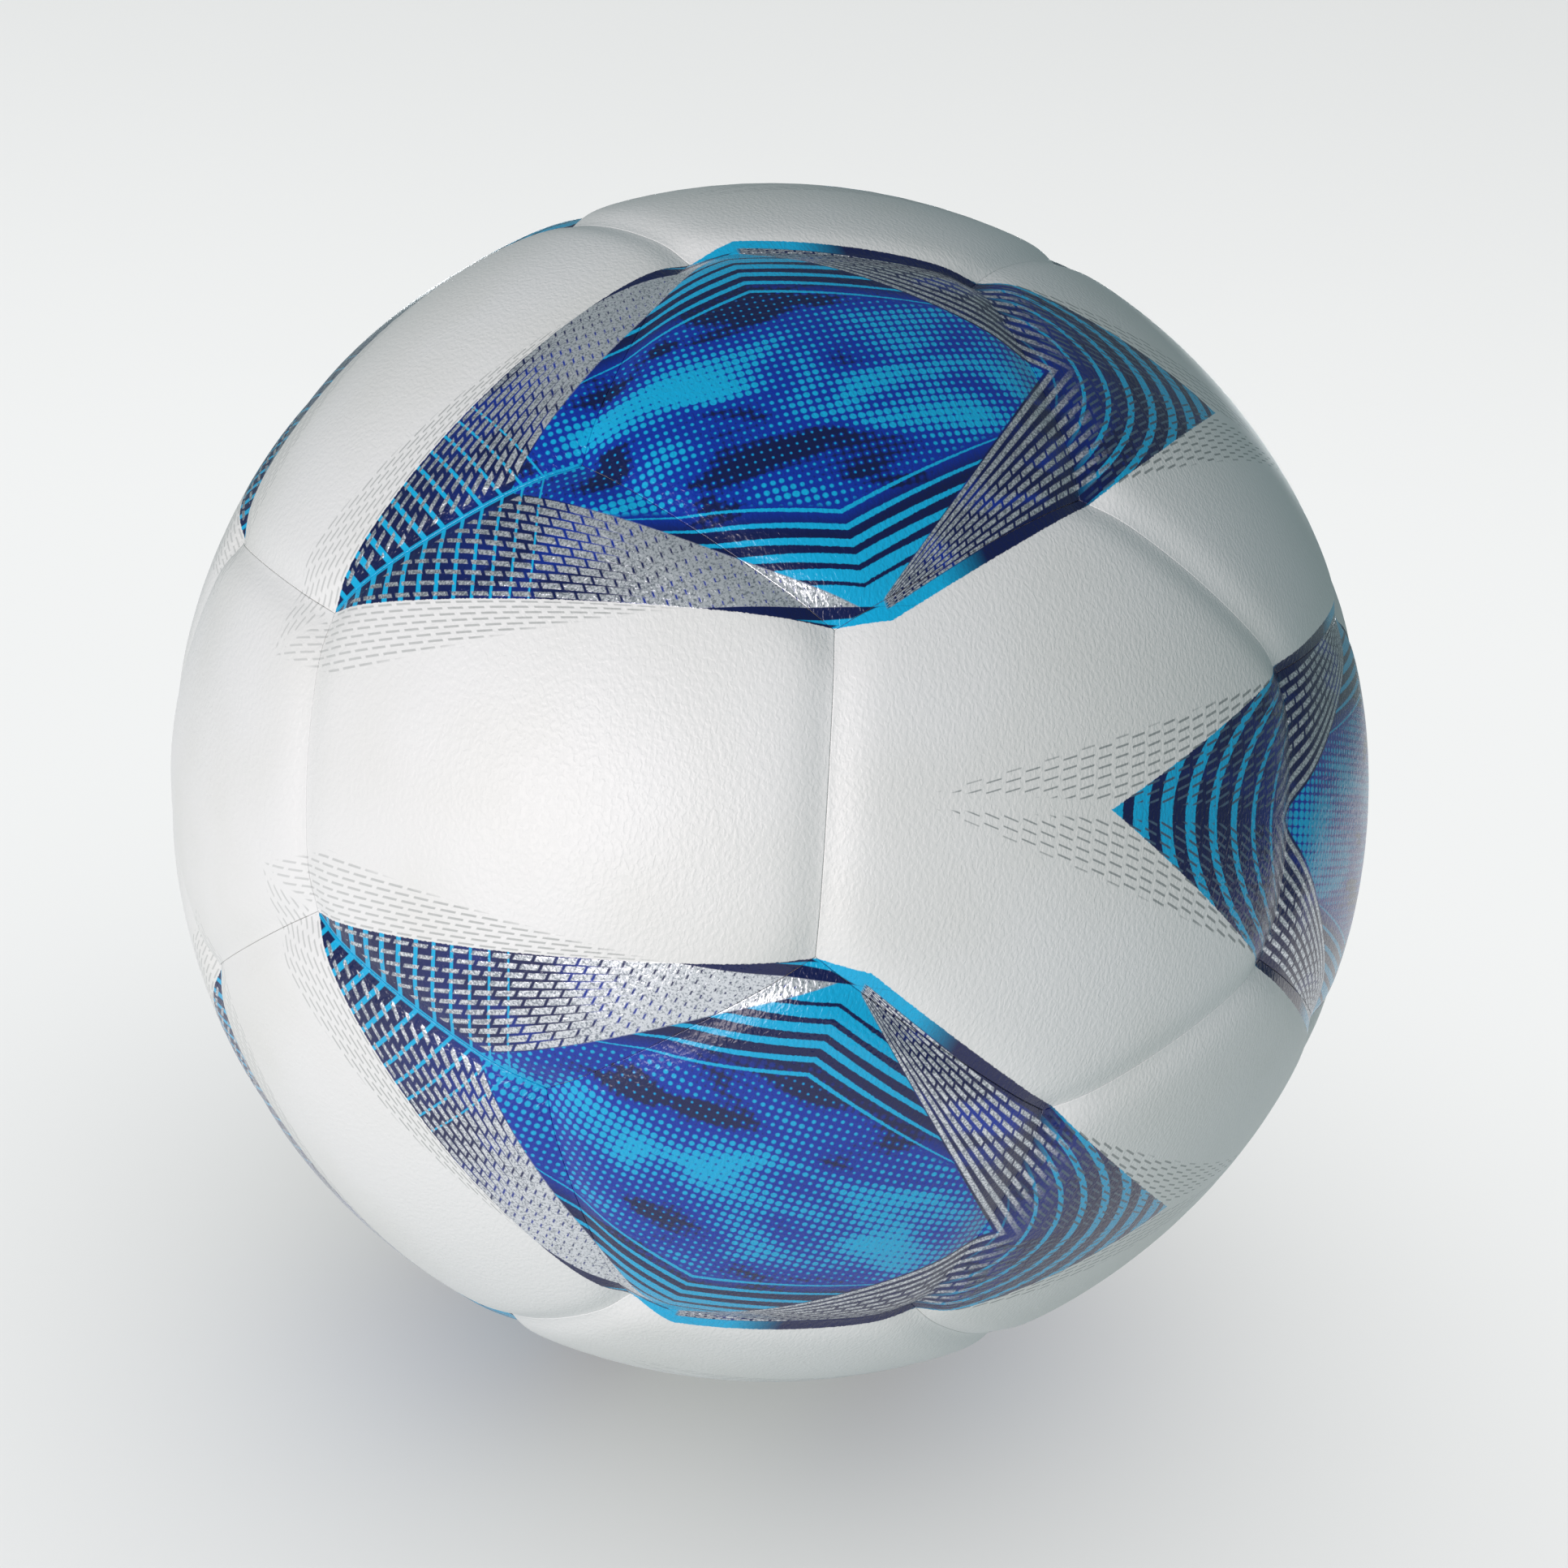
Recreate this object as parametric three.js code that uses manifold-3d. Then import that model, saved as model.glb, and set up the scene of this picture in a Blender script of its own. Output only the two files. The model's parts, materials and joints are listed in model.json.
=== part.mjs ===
// A football of 32 stitched panels: 12 pentagons and 20 hexagons, the thread that joins them,
// the fabric lining, the bladder and its valve. Millimetres, +Z up, the ball's centre at the origin.
import * as THREE from 'three';
import { mergeVertices } from 'three/addons/utils/BufferGeometryUtils.js';
import Module from 'manifold-3d';

const wasm = await Module();
wasm.setup();

// Cover
const ballRadius = 110;        // crown of a panel, so the ball measures 691 mm around
const seamDepth = 1.4;         // how far the cover dips between two panels
const shoulder = [             // cover between the seam and the crown: distance in from the seam, dip
  { inset: 0.15, dip: seamDepth },
  { inset: 1.6, dip: 0.6 },
  { inset: 5, dip: 0 },
];
const innerRadius = 106.4;     // back of a panel
const rimRadius = 107.4;       // where the back of a panel's rim is cut away for the thread
const rimCut = 1.5;            // width of that cut, measured in from the seam
const seamSteps = 3;           // straight steps along one side of a panel
const contactRadius = 7;       // flat that the ball rests on, in the middle of each panel

// Seam thread
const threadOuter = 106.9;
const threadInner = 106.0;
const threadHalfWidth = 0.4;

// Lining and bladder, as radii
const liningOuter = 105.3;
const liningInner = 104.5;
const bladderOuter = 103;
const bladderInner = 102;
const shellDetail = 4;         // how finely each shell is divided

// Valve, on the pentagon at the pole away from the front: radii, and heights from the ball's centre
const panelHole = 4.7;
const ringOuter = 4.35;
const ringInner = 3.75;
const ringTop = 109.4;
const ringFoot = 106.6;
const stemRadius = 3.4;
const stemTop = 109;
const stemFoot = 88;
const mouthRadius = 1.1;       // takes a 2 mm pump needle
const mouthFoot = 106.4;
const chamberRadius = 2.1;
const chamberFoot = 90;
const tailHole = 0.8;
const flangeRadius = 10;
const flangeTop = 99.7;
const flangeThickness = 1.4;
const plugRadius = 1.75;
const plugTop = 106;
const plugFoot = 90.4;
const patchRadius = 15;
const patchTop = 101.2;
const patchThickness = 0.7;
const patchSlope = 0.14;       // the patches and the flange fall away with the bladder's wall
const roundSteps = 24;

// How the ball lies: on the middle of a hexagon, turned about the vertical to show its print
const facing = THREE.MathUtils.degToRad(-146.28);

const colours = {
  white: 0xebecea,
  blue: 0x0a3c96,
  black: 0x17181a,
  butyl: 0x2b2c30,
  cloth: 0xd9d4c8,
  cord: 0xf1efe6,
};

function material(colour, roughness) {
  return new THREE.MeshStandardMaterial({ color: colour, roughness, metalness: 0 });
}

// Twelve corners of an icosahedron: two poles and two rings of five. They are the pentagons' centres.
function icosahedronCorners() {
  const latitude = Math.atan(0.5);
  const at = (degrees, lat) => {
    const turn = THREE.MathUtils.degToRad(degrees);
    return new THREE.Vector3(Math.cos(lat) * Math.cos(turn), Math.cos(lat) * Math.sin(turn), Math.sin(lat));
  };
  const upper = [0, 1, 2, 3, 4].map((i) => at(72 * i, latitude));
  const lower = [0, 1, 2, 3, 4].map((i) => at(72 * i + 36, -latitude));
  return [new THREE.Vector3(0, 0, 1), ...upper, ...lower, new THREE.Vector3(0, 0, -1)];
}

const pentagonCentres = icosahedronCorners();
const areNeighbours = (a, b) => a !== b && a.dot(b) > 0.4;

// A seam corner lies a third of the way along the line from one pentagon's centre to the next.
const seamCorner = (near, far) => near.clone().multiplyScalar(2).add(far).normalize();

// Corners in order around a panel's centre, anticlockwise from outside.
function ordered(centre, corners) {
  const x = corners[0].clone().addScaledVector(centre, -corners[0].dot(centre)).normalize();
  const y = centre.clone().cross(x);
  const turn = (corner) => Math.atan2(corner.dot(y), corner.dot(x));
  return corners.slice().sort((a, b) => turn(a) - turn(b));
}

function pentagonPanels() {
  return pentagonCentres.map((centre) => {
    const neighbours = pentagonCentres.filter((other) => areNeighbours(centre, other));
    return { centre, corners: ordered(centre, neighbours.map((other) => seamCorner(centre, other))) };
  });
}

// Each hexagon is centred between three pentagons that are neighbours.
function hexagonPanels() {
  const panels = [];
  pentagonCentres.forEach((a, i) => {
    pentagonCentres.slice(i + 1).forEach((b, j) => {
      pentagonCentres.slice(i + j + 2).forEach((c) => {
        if (!areNeighbours(a, b) || !areNeighbours(b, c) || !areNeighbours(a, c)) return;
        const centre = a.clone().add(b).add(c).normalize();
        const pairs = [[a, b], [b, a], [b, c], [c, b], [c, a], [a, c]];
        const corners = pairs.map(([near, far]) => seamCorner(near, far));
        panels.push({ centre, corners: ordered(centre, corners) });
      });
    });
  });
  return panels;
}

// Direction on the line from a point of a side to the panel's centre, a given distance in from
// that side's plane.
function insetDirection(onSide, centre, sideNormal, inset, radius) {
  const reach = sideNormal.dot(centre);
  const sine = inset / radius;
  const b = onSide.dot(centre);
  const spread = reach ** 2 - sine ** 2;
  const k = (sine ** 2 * b + sine * Math.sqrt(sine ** 2 * b ** 2 + spread)) / spread;
  return onSide.clone().addScaledVector(centre, k).normalize();
}

// Collects points and triangles, then makes one closed geometry of them.
class Skin {
  constructor() {
    this.points = [];
    this.faces = [];
  }

  ring(points) {
    const first = this.points.length;
    this.points.push(...points);
    return points.map((_, i) => first + i);
  }

  face(a, b, c, flip = false) {
    this.faces.push(...(flip ? [a, c, b] : [a, b, c]));
  }

  // Joins two rings of the same count, the outer one first.
  band(outer, inner, flip = false) {
    outer.forEach((a, i) => {
      const next = (i + 1) % outer.length;
      this.face(a, outer[next], inner[next], flip);
      this.face(a, inner[next], inner[i], flip);
    });
  }

  // Joins a ring of several points per side to a ring with one point per corner.
  fan(ring, corners, flip = false) {
    const perSide = ring.length / corners.length;
    const half = Math.ceil(perSide / 2);
    corners.forEach((corner, side) => {
      const next = corners[(side + 1) % corners.length];
      for (let step = 0; step < perSide; step += 1) {
        const a = ring[side * perSide + step];
        const b = ring[(side * perSide + step + 1) % ring.length];
        this.face(a, b, step < half ? corner : next, flip);
        if (step === half - 1) this.face(b, next, corner, flip);
      }
    });
  }

  // Closes a ring of corners with flat triangles, the middle one over the centre.
  cap(corners, flip = false) {
    const middle = corners.filter((_, i) => i % 2 === 0);
    for (let i = 0; i + 1 < corners.length; i += 2) {
      this.face(corners[i], corners[i + 1], corners[(i + 2) % corners.length], flip);
    }
    this.face(middle[0], middle[1], middle[2], flip);
  }

  geometry() {
    const numbers = this.points.flatMap((point) => point.toArray());
    const made = new THREE.BufferGeometry();
    made.setAttribute('position', new THREE.Float32BufferAttribute(numbers, 3));
    made.setIndex(this.faces);
    return made;
  }
}

// Points along one side, from one corner to just before the next, with the side's plane.
function sidePoints(from, to) {
  const angle = from.angleTo(to);
  const normal = from.clone().cross(to).normalize();
  return Array.from({ length: seamSteps }, (_, step) => {
    const share = step / seamSteps;
    const a = Math.sin((1 - share) * angle) / Math.sin(angle);
    const b = Math.sin(share * angle) / Math.sin(angle);
    return { point: from.clone().multiplyScalar(a).addScaledVector(to, b), normal };
  });
}

// Points all round a panel, a given distance in from its seams and at a given radius.
function insetPoints({ centre, corners }, inset, radius) {
  const onSides = corners.flatMap((corner, i) => sidePoints(corner, corners[(i + 1) % corners.length]));
  return onSides.map(({ point, normal }) => (
    insetDirection(point, centre, normal, inset, radius).multiplyScalar(radius)));
}

// A panel: a domed cover, a rounded shoulder down to the seam, a rim and a hollow back.
function panelGeometry(panel) {
  const { centre, corners } = panel;
  const skin = new Skin();
  const insetRing = (inset, radius) => skin.ring(insetPoints(panel, inset, radius));
  const middleRing = (radius) => skin.ring(insetPoints(panel, 0, 1).map((point) => (
    point.lerp(centre, 0.5).normalize().multiplyScalar(radius))));
  const flatRing = (radius) => skin.ring(corners.map((corner) => {
    const out = corner.clone().addScaledVector(centre, -corner.dot(centre)).setLength(contactRadius);
    return out.addScaledVector(centre, Math.sqrt(radius ** 2 - contactRadius ** 2));
  }));

  const cover = shoulder.map(({ inset, dip }) => insetRing(inset, ballRadius - dip));
  cover.push(middleRing(ballRadius));
  cover.slice(1).forEach((ring, i) => skin.band(cover[i], ring));
  const crown = flatRing(ballRadius);
  skin.fan(cover.at(-1), crown);
  skin.cap(crown);

  const rim = insetRing(shoulder[0].inset, rimRadius);
  const back = insetRing(rimCut, innerRadius);
  const backMiddle = middleRing(innerRadius);
  const backFlat = flatRing(innerRadius);
  skin.band(cover[0], rim, true);
  skin.band(rim, back, true);
  skin.band(back, backMiddle, true);
  skin.fan(backMiddle, backFlat, true);
  skin.cap(backFlat, true);
  return skin.geometry();
}

function toSolid(geometry) {
  const bare = geometry.clone();
  bare.deleteAttribute('normal');
  bare.deleteAttribute('uv');
  const merged = mergeVertices(bare, 1e-4);
  return new wasm.Manifold(new wasm.Mesh({
    numProp: 3,
    vertProperties: merged.attributes.position.array,
    triVerts: new Uint32Array(merged.index.array),
  }));
}

function toGeometry(solid) {
  const mesh = solid.getMesh();
  const made = new THREE.BufferGeometry();
  made.setAttribute('position', new THREE.Float32BufferAttribute(mesh.vertProperties, 3));
  made.setIndex(Array.from(mesh.triVerts));
  return made;
}

// A round piece about the valve's axis: points are [radius, height from the ball's centre].
function valveLathe(points) {
  const profile = points.map(([radius, height]) => new THREE.Vector2(radius, height));
  return new THREE.LatheGeometry(profile, roundSteps).rotateX(Math.PI / 2);
}

// Turns a piece made about +Z to the valve's pole, -Z.
const toValvePole = (geometry) => geometry.rotateX(Math.PI);

function valveCutter(radius) {
  const cutter = new THREE.CylinderGeometry(radius, radius, ballRadius, roundSteps);
  return toValvePole(cutter.rotateX(Math.PI / 2).translate(0, 0, ballRadius * 0.9));
}

// The thread under all ninety seams, as one net. Its edges run beside each panel's seams, so the net is
// the strip between one panel's edge and the next panel's, with a small triangle at each corner.
function seamThreadGeometry(panels) {
  const skin = new Skin();
  const key = (point) => point.toArray().map((value) => Math.round(value * 100)).join();
  const sides = new Map();
  const meetings = new Map();
  panels.forEach((panel) => {
    const outer = skin.ring(insetPoints(panel, threadHalfWidth, threadOuter));
    const inner = skin.ring(insetPoints(panel, threadHalfWidth, threadInner));
    skin.band(outer, inner);
    panel.corners.forEach((corner, i) => {
      const next = panel.corners[(i + 1) % panel.corners.length];
      const start = i * seamSteps;
      const steps = Array.from({ length: seamSteps + 1 }, (_, step) => (start + step) % outer.length);
      sides.set(key(corner) + key(next), { back: key(next) + key(corner), outer, inner, steps });
      const meeting = meetings.get(key(corner)) ?? { corner, members: [] };
      meeting.members.push({ centre: panel.centre, outer: outer[start], inner: inner[start] });
      meetings.set(key(corner), meeting);
    });
  });
  sides.forEach((here, name) => {
    if (name > here.back) return;
    const there = sides.get(here.back);
    const far = there.steps.slice().reverse();
    for (let step = 0; step < seamSteps; step += 1) {
      const [a, b] = [here.steps[step], here.steps[step + 1]];
      const [c, d] = [far[step], far[step + 1]];
      skin.face(here.outer[a], there.outer[c], here.outer[b]);
      skin.face(here.outer[b], there.outer[c], there.outer[d]);
      skin.face(here.inner[a], here.inner[b], there.inner[c]);
      skin.face(here.inner[b], there.inner[d], there.inner[c]);
    }
  });
  meetings.forEach(({ corner, members }) => {
    const [first, second, third] = members;
    const turn = second.centre.clone().sub(first.centre).cross(third.centre.clone().sub(first.centre));
    const flip = turn.dot(corner) < 0;
    skin.face(first.outer, second.outer, third.outer, flip);
    skin.face(first.inner, second.inner, third.inner, !flip);
  });
  return skin.geometry();
}

// A hollow ball with a hole for the valve, its facets set out from the two poles.
function shellGeometry(outer, inner, hole) {
  const faceted = (radius) => {
    const made = new THREE.IcosahedronGeometry(radius, shellDetail);
    const phi = (1 + Math.sqrt(5)) / 2;
    const corner = new THREE.Vector3(0, 1, phi).normalize();
    const pole = new THREE.Vector3(0, 0, 1);
    return made.applyQuaternion(new THREE.Quaternion().setFromUnitVectors(corner, pole));
  };
  const wall = toSolid(faceted(outer)).subtract(toSolid(faceted(inner)));
  return toGeometry(wall.subtract(toSolid(valveCutter(hole))));
}

const fallen = (height, radius) => height - patchSlope * radius;

function valveBodyGeometry() {
  const flangeFoot = flangeTop - flangeThickness;
  return toValvePole(valveLathe([
    [tailHole, stemFoot],
    [stemRadius - 0.6, stemFoot],
    [stemRadius, stemFoot + 0.6],
    [stemRadius, fallen(flangeFoot, stemRadius)],
    [flangeRadius, fallen(flangeFoot, flangeRadius) + 0.6],
    [flangeRadius, fallen(flangeTop, flangeRadius)],
    [stemRadius, fallen(flangeTop, stemRadius)],
    [stemRadius, stemTop],
    [mouthRadius, stemTop],
    [mouthRadius, mouthFoot],
    [chamberRadius, mouthFoot],
    [chamberRadius, chamberFoot],
    [tailHole, chamberFoot],
    [tailHole, stemFoot],
  ]));
}

function valvePlugGeometry() {
  return toValvePole(valveLathe([
    [0, plugFoot],
    [plugRadius - 0.5, plugFoot],
    [plugRadius, plugFoot + 0.8],
    [plugRadius, plugTop - 0.8],
    [plugRadius - 0.5, plugTop],
    [0, plugTop],
  ]));
}

function patchGeometry(hole) {
  const foot = patchTop - patchThickness;
  const profile = [
    [hole, fallen(foot, hole)],
    [patchRadius - 0.8, fallen(foot, patchRadius - 0.8)],
    [patchRadius, fallen(patchTop, patchRadius) - 0.3],
    [patchRadius - 0.8, fallen(patchTop, patchRadius - 0.8)],
    [hole, fallen(patchTop, hole)],
  ];
  return valveLathe(hole > 0 ? [...profile, profile[0]] : profile);
}

function valveRingGeometry() {
  return toValvePole(valveLathe([
    [ringInner, ringFoot],
    [ringOuter, ringFoot],
    [ringOuter, ringTop],
    [ringInner, ringTop],
    [ringInner, ringFoot],
  ]));
}

const ball = new THREE.Group();

function addPiece(name, geometry, colour, roughness) {
  const piece = new THREE.Mesh(geometry, material(colour, roughness));
  piece.name = name;
  ball.add(piece);
}

const numbered = (word, index) => `${word}_${String(index + 1).padStart(2, '0')}`;

// The two pentagons at the poles are plain, and one of them holds the valve. The ten others carry
// the print.
const pentagons = pentagonPanels();
pentagons.forEach((panel, i) => {
  const geometry = panelGeometry(panel);
  if (i === pentagons.length - 1) {
    const holed = toSolid(geometry).subtract(toSolid(valveCutter(panelHole)));
    addPiece('valve_panel', toGeometry(holed), colours.white, 0.45);
    return;
  }
  addPiece(numbered('pentagon_panel', i), geometry, i === 0 ? colours.white : colours.blue, 0.45);
});

const hexagons = hexagonPanels();
hexagons.forEach((panel, i) => {
  addPiece(numbered('hexagon_panel', i), panelGeometry(panel), colours.white, 0.45);
});

addPiece('seam_thread', seamThreadGeometry([...pentagons, ...hexagons]), colours.cord, 0.8);
addPiece('fabric_lining', shellGeometry(liningOuter, liningInner, panelHole), colours.cloth, 0.9);
addPiece('bladder', shellGeometry(bladderOuter, bladderInner, ringInner), colours.butyl, 0.5);
addPiece('valve_body', valveBodyGeometry(), colours.black, 0.6);
addPiece('valve_plug', valvePlugGeometry(), colours.butyl, 0.7);
addPiece('valve_patch', toValvePole(patchGeometry(ringInner)), colours.butyl, 0.6);
addPiece('balance_patch', patchGeometry(0), colours.butyl, 0.6);
addPiece('valve_ring', valveRingGeometry(), colours.black, 0.5);

// A hexagon centred just below the equator, on the ball's own x axis, goes to the floor.
const restLatitude = Math.min(...hexagons.map(({ centre }) => Math.asin(Math.abs(centre.z))));
ball.rotation.set(0, Math.PI / 2 - restLatitude, facing, 'ZYX');

export default ball;
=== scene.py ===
import json
import math

import bpy
import numpy as np
from mathutils import Matrix, Vector


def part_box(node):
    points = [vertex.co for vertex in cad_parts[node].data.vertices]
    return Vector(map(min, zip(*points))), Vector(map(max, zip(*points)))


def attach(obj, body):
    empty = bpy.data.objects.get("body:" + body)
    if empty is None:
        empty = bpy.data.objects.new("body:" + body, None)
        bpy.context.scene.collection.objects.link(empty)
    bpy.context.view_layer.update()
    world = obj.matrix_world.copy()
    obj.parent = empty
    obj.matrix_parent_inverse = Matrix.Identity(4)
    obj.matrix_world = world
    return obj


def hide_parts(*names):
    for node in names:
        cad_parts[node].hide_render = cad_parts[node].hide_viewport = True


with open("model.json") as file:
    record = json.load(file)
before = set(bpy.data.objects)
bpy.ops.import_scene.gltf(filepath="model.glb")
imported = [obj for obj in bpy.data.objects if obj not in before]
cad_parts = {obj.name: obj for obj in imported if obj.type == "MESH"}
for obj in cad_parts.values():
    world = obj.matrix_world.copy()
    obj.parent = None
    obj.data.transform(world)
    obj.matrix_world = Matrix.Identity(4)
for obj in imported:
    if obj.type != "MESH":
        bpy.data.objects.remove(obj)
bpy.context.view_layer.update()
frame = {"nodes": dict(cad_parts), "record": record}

mm = 0.001

# ---- how the ball lies: the valve's axis and the panel that it stands on give its own three directions
mounts = {mount["name"]: mount for mount in frame["record"]["mounts"]}
ballPole = -Vector(mounts["pump_face"]["axis"]).normalized()      # the plain pentagon away from the valve
floorHeight = mounts["ground_contact"]["pos_m"][2]
restDown = Vector(mounts["ground_contact"]["axis"])
ballX = (restDown - ballPole * restDown.dot(ballPole)).normalized()
ballY = ballPole.cross(ballX)
ballAxes = np.array([ballX, ballY, ballPole])
ballRadius = max(v.co.length for v in frame["nodes"]["hexagon_panel_01"].data.vertices) / mm
fifth = 2 * math.pi / 5
print("ball radius", round(ballRadius, 3), "mm, pole", tuple(round(c, 4) for c in ballPole))


# ---- camera
camera = {
    "direction": (-0.01042344, -0.93074739, 0.36551422),   # from the ball's centre
    "up": (-0.08111492, 0.36511645, 0.92742134),
    "distance": 0.33128,
    "lens": 39.091,
    "sensor": 36,
    "shift": (0.00932, -0.00104),
    "nearest": 0.01,
}


def makeCamera(facts):
    data = bpy.data.cameras.new("camera")
    data.lens = facts["lens"]
    data.sensor_width = facts["sensor"]
    data.shift_x, data.shift_y = facts["shift"]
    data.clip_start = facts["nearest"]
    made = bpy.data.objects.new("camera", data)
    bpy.context.scene.collection.objects.link(made)
    back = Vector(facts["direction"]).normalized()
    right = Vector(facts["up"]).cross(back).normalized()
    turned = Matrix((right, back.cross(right), back)).transposed().to_4x4()
    made.matrix_world = Matrix.Translation(back * facts["distance"]) @ turned
    bpy.context.scene.camera = made


makeCamera(camera)
bpy.context.scene.view_settings.view_transform = "Standard"
print("camera made")


# ---- shader maths: a socket that can be added, multiplied and compared, and a material or world that
# makes nodes
class Flow:
    def __init__(self, paint, socket):
        self.paint = paint
        self.socket = socket

    def apply(self, operation, *others, clamp=False):
        return self.paint.maths(operation, self, *others, clamp=clamp)

    def __add__(self, other):
        return self.apply("ADD", other)

    def __radd__(self, other):
        return self.paint.maths("ADD", other, self)

    def __sub__(self, other):
        return self.apply("SUBTRACT", other)

    def __rsub__(self, other):
        return self.paint.maths("SUBTRACT", other, self)

    def __mul__(self, other):
        return self.apply("MULTIPLY", other)

    def __rmul__(self, other):
        return self.paint.maths("MULTIPLY", other, self)

    def __truediv__(self, other):
        return self.apply("DIVIDE", other)

    def __rtruediv__(self, other):
        return self.paint.maths("DIVIDE", other, self)

    def __neg__(self):
        return self.apply("MULTIPLY", -1)

    def __abs__(self):
        return self.apply("ABSOLUTE")

    def __gt__(self, other):
        return self.apply("GREATER_THAN", other)

    def atMost(self, other):
        return self.apply("MINIMUM", other)

    def atLeast(self, other):
        return self.apply("MAXIMUM", other)

    def fraction(self):
        return self.apply("FRACT")

    def whole(self):
        return self.apply("FLOOR")

    # 0 below an edge and 1 above it, with a straight change of the given width between
    def above(self, edge, soft):
        if isinstance(edge, Flow):
            return (self - edge).apply("MULTIPLY_ADD", 1 / soft, 0.5, clamp=True)
        return self.apply("MULTIPLY_ADD", 1 / soft, 0.5 - edge / soft, clamp=True)

    def below(self, edge, soft):
        if isinstance(edge, Flow):
            return (edge - self).apply("MULTIPLY_ADD", 1 / soft, 0.5, clamp=True)
        return self.apply("MULTIPLY_ADD", -1 / soft, 0.5 + edge / soft, clamp=True)

    # A straight change from one value to another as this goes from low to high
    def ramp(self, low, high, start=0.0, end=1.0, kind="LINEAR"):
        return self.paint.flow("ShaderNodeMapRange", {"interpolation_type": kind},
                               {"Value": self, "From Min": low, "From Max": high,
                                "To Min": start, "To Max": end})

    # The same with soft ends
    def rise(self, low, high, start=0.0, end=1.0):
        return self.ramp(low, high, start, end, "SMOOTHSTEP")


class Paint:
    def __init__(self, name, group=bpy.data.materials):
        self.owner = group.new(name)
        self.owner.use_nodes = True
        self.tree = self.owner.node_tree
        self.tree.nodes.clear()

    # Settings are attributes, such as a Math node's operation. Values are links, numbers or colours.
    def node(self, kind, settings=None, values=None):
        made = self.tree.nodes.new(kind)
        for key, value in (settings or {}).items():
            setattr(made, key, value)
        for key, value in (values or {}).items():
            if isinstance(value, Flow):
                self.tree.links.new(value.socket, made.inputs[key])
            elif made.inputs[key].type == "RGBA":
                made.inputs[key].default_value = (*value, 1)
            else:
                made.inputs[key].default_value = value
        return made

    def flow(self, kind, settings=None, values=None, output=0):
        return Flow(self, self.node(kind, settings, values).outputs[output])

    def maths(self, operation, *terms, clamp=False):
        settings = {"operation": operation, "use_clamp": clamp}
        return self.flow("ShaderNodeMath", settings, dict(enumerate(terms)))

    def vector(self, operation, *terms, output=0):
        settings = {"operation": operation}
        return self.flow("ShaderNodeVectorMath", settings, dict(enumerate(terms)), output)

    def dot(self, flow, direction):
        return self.vector("DOT_PRODUCT", flow, tuple(direction), output="Value")

    def point(self, x, y, z):
        return self.flow("ShaderNodeCombineXYZ", {}, {0: x, 1: y, 2: z})

    def blend(self, under, over, share):
        values = {0: share, 6: under, 7: over}
        return self.flow("ShaderNodeMix", {"data_type": "RGBA"}, values, 2)

    def eitherPoint(self, first, second, share):
        values = {0: share, 4: first, 5: second}
        return self.flow("ShaderNodeMix", {"data_type": "VECTOR"}, values, 1)

    def noise(self, place, scale, detail=2.0, roughness=0.5, distortion=0.0):
        return self.flow("ShaderNodeTexNoise", {},
                         {"Vector": place, "Scale": scale, "Detail": detail, "Roughness": roughness,
                          "Distortion": distortion})

    def cells(self, place, scale):
        return self.flow("ShaderNodeTexVoronoi", {}, {"Vector": place, "Scale": scale})

    def here(self):
        return self.flow("ShaderNodeTexCoord", output="Object")

    def bump(self, height, distance):
        return self.flow("ShaderNodeBump", {}, {"Height": height, "Distance": distance, "Strength": 1.0})

    def finish(self, **values):
        surface = self.node("ShaderNodeBsdfPrincipled", {},
                            {key.replace("_", " "): value for key, value in values.items()})
        self.node("ShaderNodeOutputMaterial", {}, {"Surface": Flow(self, surface.outputs[0])})
        return self.owner


# A colour given as it looks on a screen, 0 to 255
def screenColour(red, green, blue):
    parts = [value / 255 for value in (red, green, blue)]
    return tuple(c / 12.92 if c <= 0.04045 else ((c + 0.055) / 1.055) ** 2.4 for c in parts)


# ---- the printed cover. Distances are in millimetres over the ball: "out" is measured from a pole along
# the middle of a motif, through its pentagon, and "aside" away from that middle line. Four numbers are a
# ramp (from, to, value at the start, value at the end). Two are an edge and its softness, or a ramp from
# 0 to 1.
inks = {
    "white": screenColour(240, 241, 242),
    "whiteWarm": screenColour(234, 235, 234),
    "cyan": screenColour(4, 178, 230),
    "royal": screenColour(0, 50, 168),
    "navy": screenColour(0, 17, 78),
    "silver": screenColour(226, 230, 236),
    "silverDark": screenColour(146, 153, 164),
    "slantDash": screenColour(74, 98, 122),
    "paleDash": screenColour(172, 176, 176),
    "greyDash": screenColour(138, 145, 147),
}
motif = {
    "tip": (38.7, 0),                            # corners of the printed outline: out, aside
    "side": (109.5, 36.4),
    "corner": (117.5, 37.6),
    "hip": (154.4, 23.4),
    "farTip": (193.2, 0),
    "middle": (121.8, 0),
    "fold": [(73.0, 0.6), (114.0, 34.9)],        # inner edge of the silver fan nearer the pole
    "farFold": [(118.2, 33.6), (152.0, 3.0)],    # inner edge of the other silver fan
    "strip": [(118.6, 35.4), (153.6, 21.2)],     # outer edge of that fan
    "edgeSoft": 0.12,
    "edgeRough": 0.3,
    "speck": 0.42,                               # size of the specks that roughen every printed edge
    "lineSoft": 0.14,
}


# Direction of a point of the motif, in the folded ball's own axes
def motifDirection(out, aside):
    lean, turn = aside / ballRadius, out / ballRadius
    return Vector((math.sin(turn) * math.cos(lean), math.sin(lean), math.cos(turn) * math.cos(lean)))


# Normal of the plane through two points of the motif and the ball's centre, towards a third point
def motifPlane(first, second, towards):
    normal = motifDirection(*first).cross(motifDirection(*second)).normalized()
    return normal if normal.dot(motifDirection(*towards)) > 0 else -normal


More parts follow.
